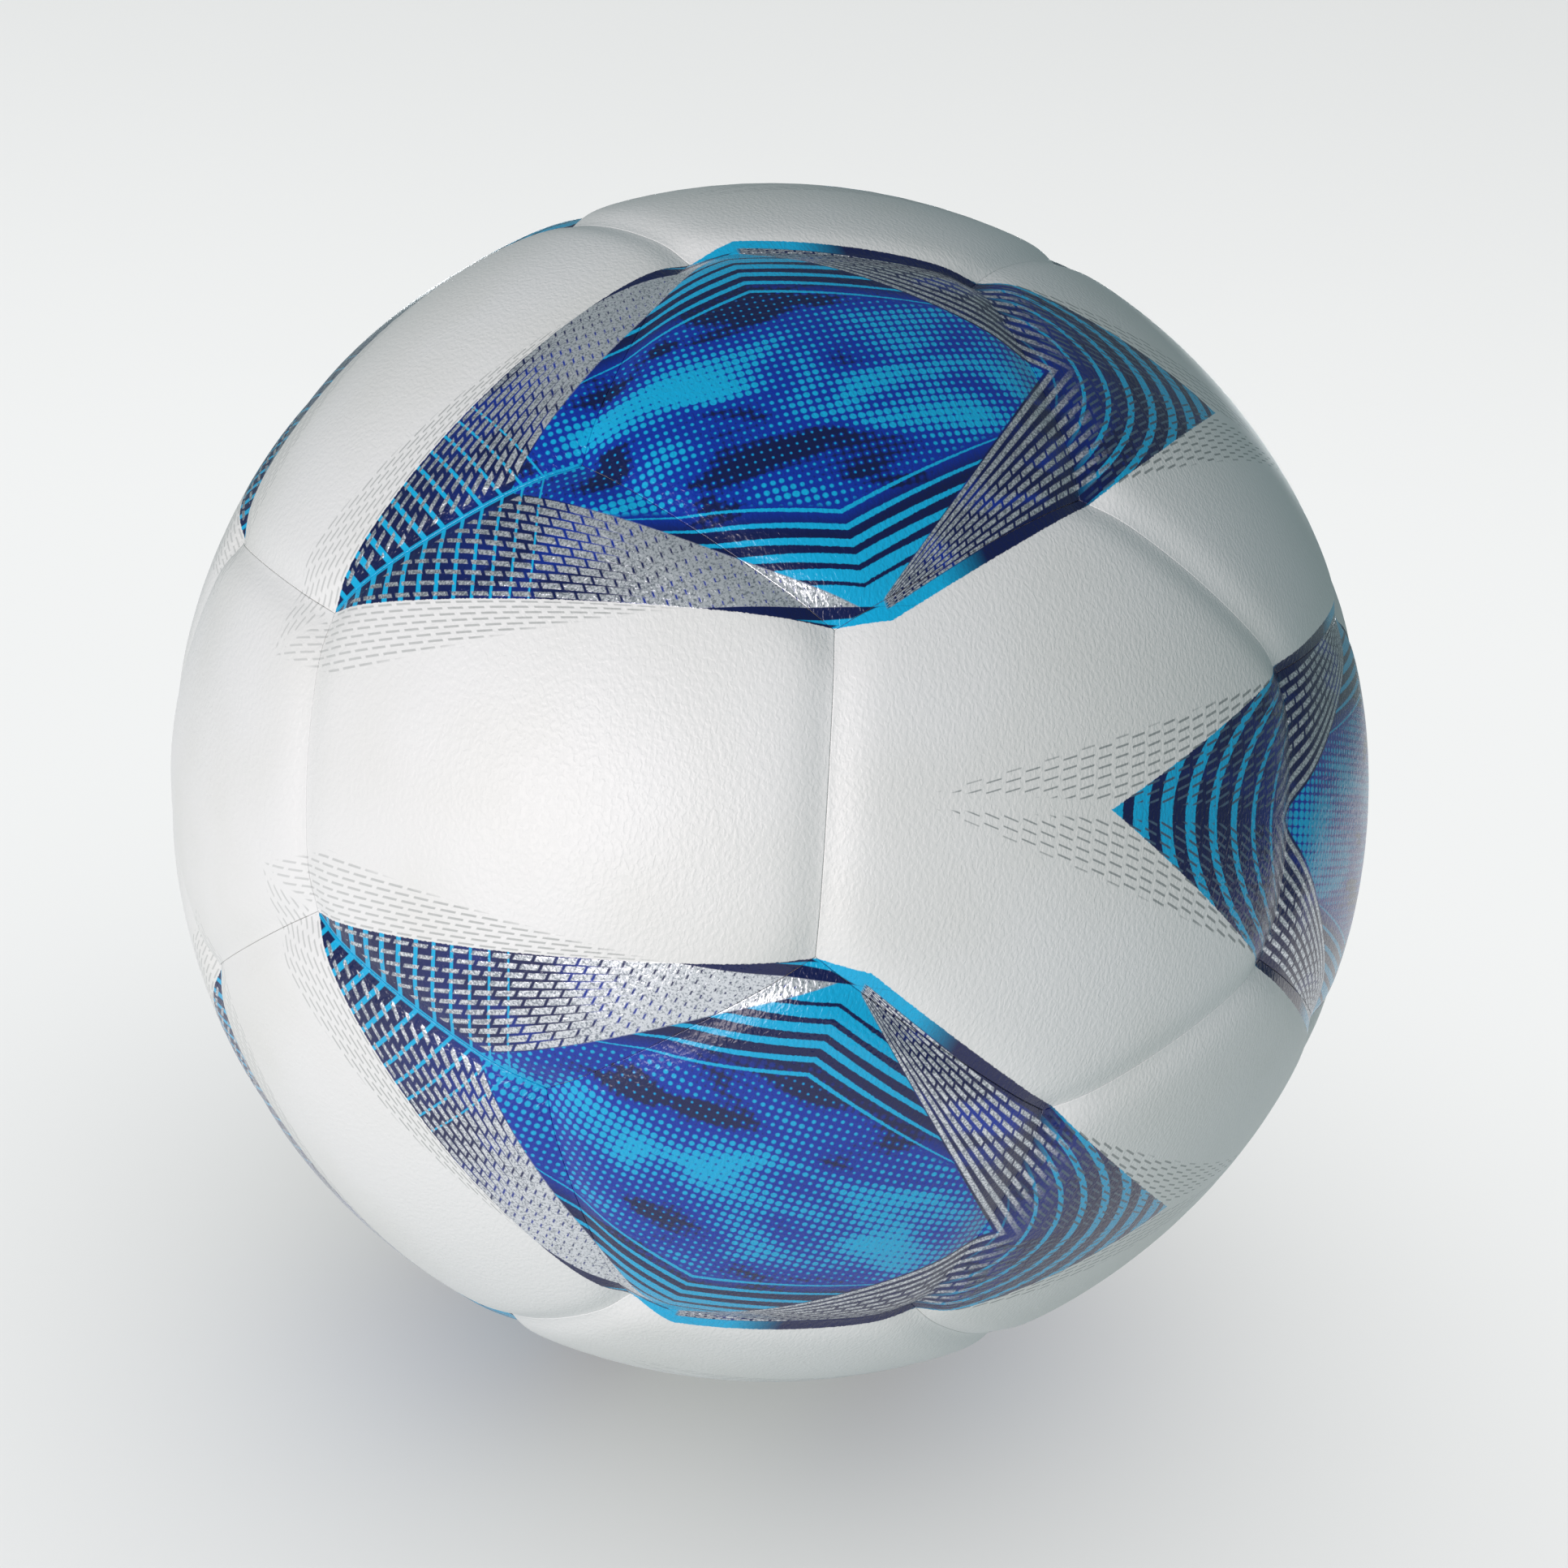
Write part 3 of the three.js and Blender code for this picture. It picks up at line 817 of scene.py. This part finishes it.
def makePanel(name, centre, corners, hole=None):
    shape = panelShape
    count = len(corners) * shape["sideSteps"]
    directions, backDirections = panelRings(centre, corners, hole)
    sides = unitRows(np.cross(corners, np.roll(corners, -1, axis=0)))
    distances = np.arcsin(np.clip(directions @ sides.T, -1, 1)) * ballRadius
    heights = ballRadius - valleyDip(distances)
    if hole:
        fromCentre = np.arccos(np.clip(directions @ centre, -1, 1)) * ballRadius
        edge = np.clip(hole["edgeRound"] - (fromCentre - hole["radius"]), 0, hole["edgeRound"])
        heights -= hole["edgeRound"] - np.sqrt(hole["edgeRound"] ** 2 - edge ** 2)
    cover = directions * heights[..., None]

    back = [directions[0] * shape["rimHeight"], *(ring * shape["backHeight"] for ring in backDirections)]

    points = [point for ring in cover for point in ring]
    faces, slots = [], []

    def band(outer, inner, flip, slot):
        for i in range(count):
            j = (i + 1) % count
            quad = [outer + i, outer + j, inner + j, inner + i]
            faces.append(quad[::-1] if flip else quad)
            slots.append(slot)

    for ring in range(len(cover) - 1):
        band(ring * count, (ring + 1) * count, False, 0)
    lastCover = (len(cover) - 1) * count
    firstBack = len(points)
    for ring in back:
        points.extend(ring)
    band(0, firstBack, True, 1)
    for ring in range(len(back) - 1):
        band(firstBack + ring * count, firstBack + (ring + 1) * count, True, 1)
    lastBack = firstBack + (len(back) - 1) * count
    if hole:
        band(lastCover, lastBack, False, 1)
    else:
        ends = ((lastCover, ballRadius, False, 0), (lastBack, shape["backHeight"], True, 1))
        for start, height, flip, slot in ends:
            points.append(centre * height)
            for i in range(count):
                tri = [start + i, start + (i + 1) % count, len(points) - 1]
                faces.append(tri[::-1] if flip else tri)
                slots.append(slot)
    points = np.array(points) * mm
    points[:, 2] = np.maximum(points[:, 2], floorHeight)      # the panel that the ball rests on is flat
    made = meshObject(name, points, faces, [coverPaint, backingPaint], slots)
    mesh = made.data
    keep = mesh.attributes.new("sharp_edge", "BOOLEAN", "EDGE")
    rimEdges = {tuple(sorted((firstBack + i, firstBack + (i + 1) % count))) for i in range(count)}
    keep.data.foreach_set("value", [tuple(sorted(edge.vertices)) in rimEdges for edge in mesh.edges])
    return made


def makePanels():
    names = [name for name in frame["nodes"] if "_panel" in name]
    middles = {}
    for name in names:
        low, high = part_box(name)
        middles[name] = ((low + high) / 2).normalized()
    made = []
    for centre, corners in panelLayout():
        name = max(names, key=lambda each: middles[each].dot(Vector(centre)))
        names.remove(name)
        hole = valveHole if name == "valve_panel" else None
        panel = makePanel("cover_" + name, centre, corners, hole)
        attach(panel, "root")
        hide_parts(name)
        made.append(panel)
    return made


panels = makePanels()
print(len(panels), "panels,", sum(len(panel.data.vertices) for panel in panels), "points")


# ---- seam thread: a zigzag of waxed thread under every seam
thread = {
    "radius": 0.26,
    "height": 106.55,          # from the ball's centre
    "swing": 0.42,             # from side to side
    "lift": 0.12,              # in and out
    "ease": 6,                 # the swing dies away over a sixth of a seam at each end
    "stitch": 5.0,
    "step": 0.55,
    "around": 6,
    "twist": 0.35,             # turn of the section from one step to the next
    "ply": 0.12,               # how far the section is from round
    "plyTurn": 0.7,
    "shade": screenColour(222, 216, 200),
    "pale": screenColour(240, 236, 225),
    "tint": 90,
    "fibre": 2600,
    "fibreDepth": 0.00008,
    "rough": (0.2, 0.8, 0.5, 0.75),
}


def threadMaterial(facts):
    paint = Paint("waxedThread")
    place = paint.here()
    fibre = paint.noise(place, facts["fibre"], 1.0)
    tint = paint.noise(place, facts["tint"], 2.0)
    return paint.finish(
        Base_Color=paint.blend(facts["shade"], facts["pale"], tint.rise(0.3, 0.7)),
        Roughness=fibre.ramp(*facts["rough"]),
        Normal=paint.bump(fibre, facts["fibreDepth"]),
    )


# Points of the thread's middle line under one seam
def seamLine(first, second, facts):
    angle = math.acos(np.clip(first @ second, -1, 1))
    length = angle * facts["height"]
    across = np.cross(first, second)
    across /= np.linalg.norm(across)
    steps = max(2, round(length / facts["step"]))
    line = []
    for i in range(steps + 1):
        share = i / steps
        phase = share * length / facts["stitch"] * 2 * math.pi
        ease = min(1, facts["ease"] * share, facts["ease"] * (1 - share))
        height = facts["height"] + facts["lift"] * math.cos(2 * phase)
        side = facts["swing"] * math.sin(phase) * ease
        line.append(alongSeam(first, second, share) * height + across * side)
    return np.array(line)


def makeThread(facts):
    around = facts["around"]
    points, faces = [], []
    seen = set()
    seams = [seam for _, corners in panelLayout() for seam in zip(corners, np.roll(corners, -1, axis=0))]
    for first, second in seams:
        key = tuple(np.round(unitRows(first + second), 3) + 0.0)
        if key in seen:        # every seam belongs to two panels
            continue
        seen.add(key)
        line = seamLine(first, second, facts)
        steps = len(line) - 1
        start = len(points)
        for i, middle in enumerate(line):
            ahead = line[min(i + 1, steps)] - line[max(i - 1, 0)]
            ahead /= np.linalg.norm(ahead)
            sideways = np.cross(ahead, middle / np.linalg.norm(middle))
            sideways /= np.linalg.norm(sideways)
            above = np.cross(sideways, ahead)
            for k in range(around):
                turn = 2 * math.pi * k / around + i * facts["twist"]
                ply = facts["radius"] * (1 + facts["ply"] * math.cos(2 * turn - i * facts["plyTurn"]))
                points.append(middle + (sideways * math.cos(turn) + above * math.sin(turn)) * ply)
        for i in range(steps):
            for k in range(around):
                here, beside = start + i * around + k, start + i * around + (k + 1) % around
                faces.append([here, here + around, beside + around, beside])
        faces.append([start + k for k in range(around)])
        faces.append([start + steps * around + k for k in range(around)][::-1])
    made = meshObject("seamStitching", np.array(points) * mm, faces, [threadMaterial(facts)])
    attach(made, "root")
    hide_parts("seam_thread")
    return made


makeThread(thread)
print("stitching made")


# ---- valve: turned pieces about the valve's axis, radius and height from the ball's centre
valve = {
    "steps": 96,
    "stem": [(0.8, 88), (2.8, 88), (3.25, 88.15), (3.4, 88.6), (3.4, 97.9), (6.8, 97.4), (9.9, 97.45),
             (10.0, 97.8), (10.0, 98.1), (9.8, 98.33), (7, 98.72), (4.2, 99.1), (3.6, 99.4), (3.4, 99.9),
             (3.4, 108.5), (3.32, 108.82), (3.1, 108.97), (2.9, 109), (1.75, 109), (1.5, 108.97),
             (1.25, 108.82), (1.1, 108.5), (1.1, 106.4), (2.1, 106.4), (2.1, 90), (0.8, 90)],
    "ring": [(3.75, 106.6), (4.35, 106.6), (4.35, 109.1), (4.3, 109.28), (4.18, 109.38), (4.05, 109.4),
             (3.92, 109.38), (3.8, 109.28), (3.75, 109.1)],
    "plug": [(0, 90.4), (1.2, 90.4), (1.6, 90.6), (1.75, 91.1), (1.75, 105.3), (1.6, 105.8), (1.3, 106),
             (0.2, 106), (0, 105.7)],
}


# A piece turned about the valve's axis. A closed profile joins its last point to its first.
def turned(name, profile, closed, paint, node, slot):
    axis = np.array(-ballPole)
    sideX = np.array(ballX)
    sideY = np.cross(axis, sideX)
    steps = valve["steps"]
    points, faces = [], []
    rings = []
    for radius, height in profile:
        if radius == 0:
            rings.append([len(points)])
            points.append(axis * height)
            continue
        rings.append(list(range(len(points), len(points) + steps)))
        for i in range(steps):
            turn = 2 * math.pi * i / steps
            points.append(axis * height + (sideX * math.cos(turn) + sideY * math.sin(turn)) * radius)
    pairs = list(zip(rings, rings[1:])) + ([(rings[-1], rings[0])] if closed else [])
    for first, second in pairs:
        for i in range(steps):
            j = (i + 1) % steps
            if len(first) == 1:
                faces.append([first[0], second[j], second[i]])
            elif len(second) == 1:
                faces.append([first[i], first[j], second[0]])
            else:
                faces.append([first[i], first[j], second[j], second[i]])
    made = meshObject(name, np.array(points) * mm, faces, [paint])
    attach(made, "root")
    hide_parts(node)
    return made


# ---- rubbers and plastic: two tones, grain size in mm, roughness from and to, depth of the grain in metres
rubbers = {
    "valveRubber": {"dark": (0.012, 0.012, 0.013), "light": (0.03, 0.03, 0.031), "grain": 0.35,
                    "rough": (0.42, 0.6), "depth": 0.00003},
    "ringPlastic": {"dark": (0.016, 0.017, 0.018), "light": (0.028, 0.029, 0.03), "grain": 0.5,
                    "rough": (0.3, 0.42), "depth": 0.00001},
    "plugRubber": {"dark": (0.03, 0.028, 0.026), "light": (0.06, 0.056, 0.05), "grain": 0.6,
                   "rough": (0.5, 0.7), "depth": 0.00004},
    "butylRubber": {"dark": (0.028, 0.03, 0.034), "light": (0.06, 0.062, 0.066), "grain": 0.9,
                    "rough": (0.38, 0.62), "depth": 0.00005},
    "patchRubber": {"dark": (0.035, 0.034, 0.033), "light": (0.075, 0.07, 0.066), "grain": 0.7,
                    "rough": (0.45, 0.7), "depth": 0.00006},
}
lining = {
    "yarn": 0.9,
    "pale": screenColour(222, 218, 205),
    "shade": screenColour(188, 182, 166),
    "fibre": 700,
    "fibreShare": 0.3,
    "depth": 0.0001,
    "rough": (0.2, 0.8, 0.85, 0.97),
    "sheen": 0.2,
}


def rubberMaterial(name, facts):
    paint = Paint(name)
    place = paint.here()
    grain = paint.noise(place, 1 / (facts["grain"] * mm), 2.0)
    bloom = paint.noise(place, 70, 3.0, 0.6)      # dull patches about 14 mm across
    return paint.finish(
        Base_Color=paint.blend(facts["dark"], facts["light"], (bloom + grain * 0.3).rise(0.45, 0.85)),
        Roughness=bloom.rise(0.3, 0.7, *facts["rough"]) + (grain - 0.5) * 0.1,
        Normal=paint.bump(grain, facts["depth"]),
    )


def liningMaterial(facts):
    paint = Paint("liningWeave")
    unit = paint.vector("NORMALIZE", paint.here())
    x, y, z = (paint.dot(unit, axis) for axis in ballAxes)
    around = y.apply("ARCTAN2", x) * (ballRadius / facts["yarn"])
    upward = z.apply("ARCSINE") * (ballRadius / facts["yarn"])
    weave = (around * math.pi).apply("SINE") * (upward * math.pi).apply("SINE")
    fibre = paint.noise(unit, facts["fibre"], 2.0)
    height = abs(weave) + fibre * facts["fibreShare"]
    return paint.finish(
        # painted shade: where the weave is low its colour is darker
        Base_Color=paint.blend(facts["shade"], facts["pale"], height.rise(0.1, 0.9)),
        Roughness=fibre.ramp(*facts["rough"]),
        Sheen_Weight=facts["sheen"],
        Normal=paint.bump(height, facts["depth"]),
    )


rubberPaints = {name: rubberMaterial(name, facts) for name, facts in rubbers.items()}
turned("valveStem", valve["stem"], True, rubberPaints["valveRubber"], "valve_body", "valve_rubber")
turned("valveCollar", valve["ring"], True, rubberPaints["ringPlastic"], "valve_ring", "ring_plastic")
turned("valveCore", valve["plug"], False, rubberPaints["plugRubber"], "valve_plug", "valve_rubber")

# the cloth, the bladder and its patches keep their CAD shapes
for node, paint in (("fabric_lining", liningMaterial(lining)), ("bladder", rubberPaints["butylRubber"]),
                    ("valve_patch", rubberPaints["patchRubber"]),
                    ("balance_patch", rubberPaints["patchRubber"])):
    mesh = frame["nodes"][node].data
    mesh.materials.clear()
    mesh.materials.append(paint)
print("valve, lining and bladder made")


# ---- a pale floor, and a wall that the floor curves up into far behind
backdrop = {
    "floor": (0.005, 0.2, 0.7),        # radii, in metres
    "flat": 1.2,                       # where the wall begins to rise
    "wall": 3.4,
    "steps": 96,
    "bendSteps": 24,
    "colour": screenColour(173, 174, 175),
    "mottle": 0.985,
    "glow": 0.3,
    "glowColour": (1.0, 0.975, 0.94),
}


def backdropMaterial(facts):
    paint = Paint("paleBackdrop")
    tone = paint.noise(paint.here(), 3.0, 2.0)
    pale = facts["colour"]
    darker = tuple(part * facts["mottle"] for part in pale)
    return paint.finish(
        Base_Color=paint.blend(pale, darker, tone),
        Roughness=0.9,
        Specular_IOR_Level=0.2,
        Emission_Color=facts["glowColour"],
        Emission_Strength=facts["glow"],
    )


def roundSheet(name, profile, facts, paint, filled=False):
    steps = facts["steps"]
    points, faces = [], []
    for radius, height in profile:
        for i in range(steps):
            turn = 2 * math.pi * i / steps
            points.append((radius * math.cos(turn), radius * math.sin(turn), floorHeight + height))
    for ring in range(len(profile) - 1):
        start = ring * steps
        for i in range(steps):
            j = (i + 1) % steps
            faces.append([start + i, start + steps + i, start + steps + j, start + j])
    if filled:
        faces.append(list(range(steps)))
    made = meshObject(name, points, faces, [paint])
    return made


def makeBackdrop(facts):
    paint = backdropMaterial(facts)
    floor = roundSheet("floor", [(radius, 0) for radius in facts["floor"]], facts, paint, filled=True)
    bend = facts["wall"] - facts["flat"]
    profile = [(facts["floor"][-1], 0), (facts["flat"], 0)]
    for i in range(1, facts["bendSteps"] - 1):
        turn = math.pi / 2 * i / facts["bendSteps"]
        profile.append((facts["flat"] + bend * math.sin(turn), bend * (1 - math.cos(turn))))
    wall = roundSheet("wall", profile, facts, paint)
    floor.visible_diffuse = False      # the lamps and the sky light the ball, which only mirrors the floor
    wall.visible_diffuse = False
    wall.visible_glossy = False
    return [floor, wall]


stage = makeBackdrop(backdrop)


# ---- light: a large soft lamp at the left of the camera and a weak one behind for the ball, and one above
# for the backdrop
lamps = {
    "key": {"kind": "AREA", "place": (-0.66, -1.08, 0.26), "size": (0.9, 0.62), "power": 13.0,
            "colour": (1.0, 0.91, 0.9)},
    "back": {"kind": "AREA", "place": (0.1, 1.3, 0.0), "size": (1.1, 0.2), "power": 7.0,
             "colour": (0.98, 0.99, 1.0)},
    "overFloor": {"kind": "SUN", "place": (0, 0, 2), "spread": 110, "power": 3.85,
                  "colour": (1.0, 0.985, 0.98)},
}
sky = {"above": (0.16, 0.205, 0.217), "below": (0.255, 0.335, 0.33)}


# The pieces that a lamp lights, as a collection
def litGroup(name, pieces):
    group = bpy.data.collections.new(name)
    for piece in pieces:
        group.objects.link(piece)
    return group


def makeLamps(facts):
    meshes = [piece for piece in bpy.context.scene.objects if piece.type == "MESH"]
    ball = [piece for piece in meshes if piece not in stage]
    groups = {"AREA": litGroup("litBall", ball), "SUN": litGroup("litBackdrop", stage)}
    for name, lamp in facts.items():
        data = bpy.data.lights.new(name, lamp["kind"])
        if lamp["kind"] == "AREA":
            data.shape = "RECTANGLE"
            data.size, data.size_y = lamp["size"]
        else:
            data.angle = math.radians(lamp["spread"])
        data.energy = lamp["power"]
        data.color = lamp["colour"]
        made = bpy.data.objects.new(name, data)
        bpy.context.scene.collection.objects.link(made)
        made.location = lamp["place"]
        made.rotation_euler = Vector(lamp["place"]).to_track_quat("Z", "Y").to_euler()
        made.visible_camera = False
        made.light_linking.receiver_collection = groups[lamp["kind"]]


def makeSky(facts):
    paint = Paint("studio", bpy.data.worlds)
    around = paint.flow("ShaderNodeTexCoord", output="Generated")
    height = paint.flow("ShaderNodeSeparateXYZ", {}, {0: around}, "Z").ramp(-1, 1)
    colour = paint.blend(facts["below"], facts["above"], height)
    light = paint.flow("ShaderNodeBackground", {}, {"Color": colour})
    paint.node("ShaderNodeOutputWorld", {}, {"Surface": light})
    bpy.context.scene.world = paint.owner


makeLamps(lamps)
makeSky(sky)
print("backdrop and lamps made")
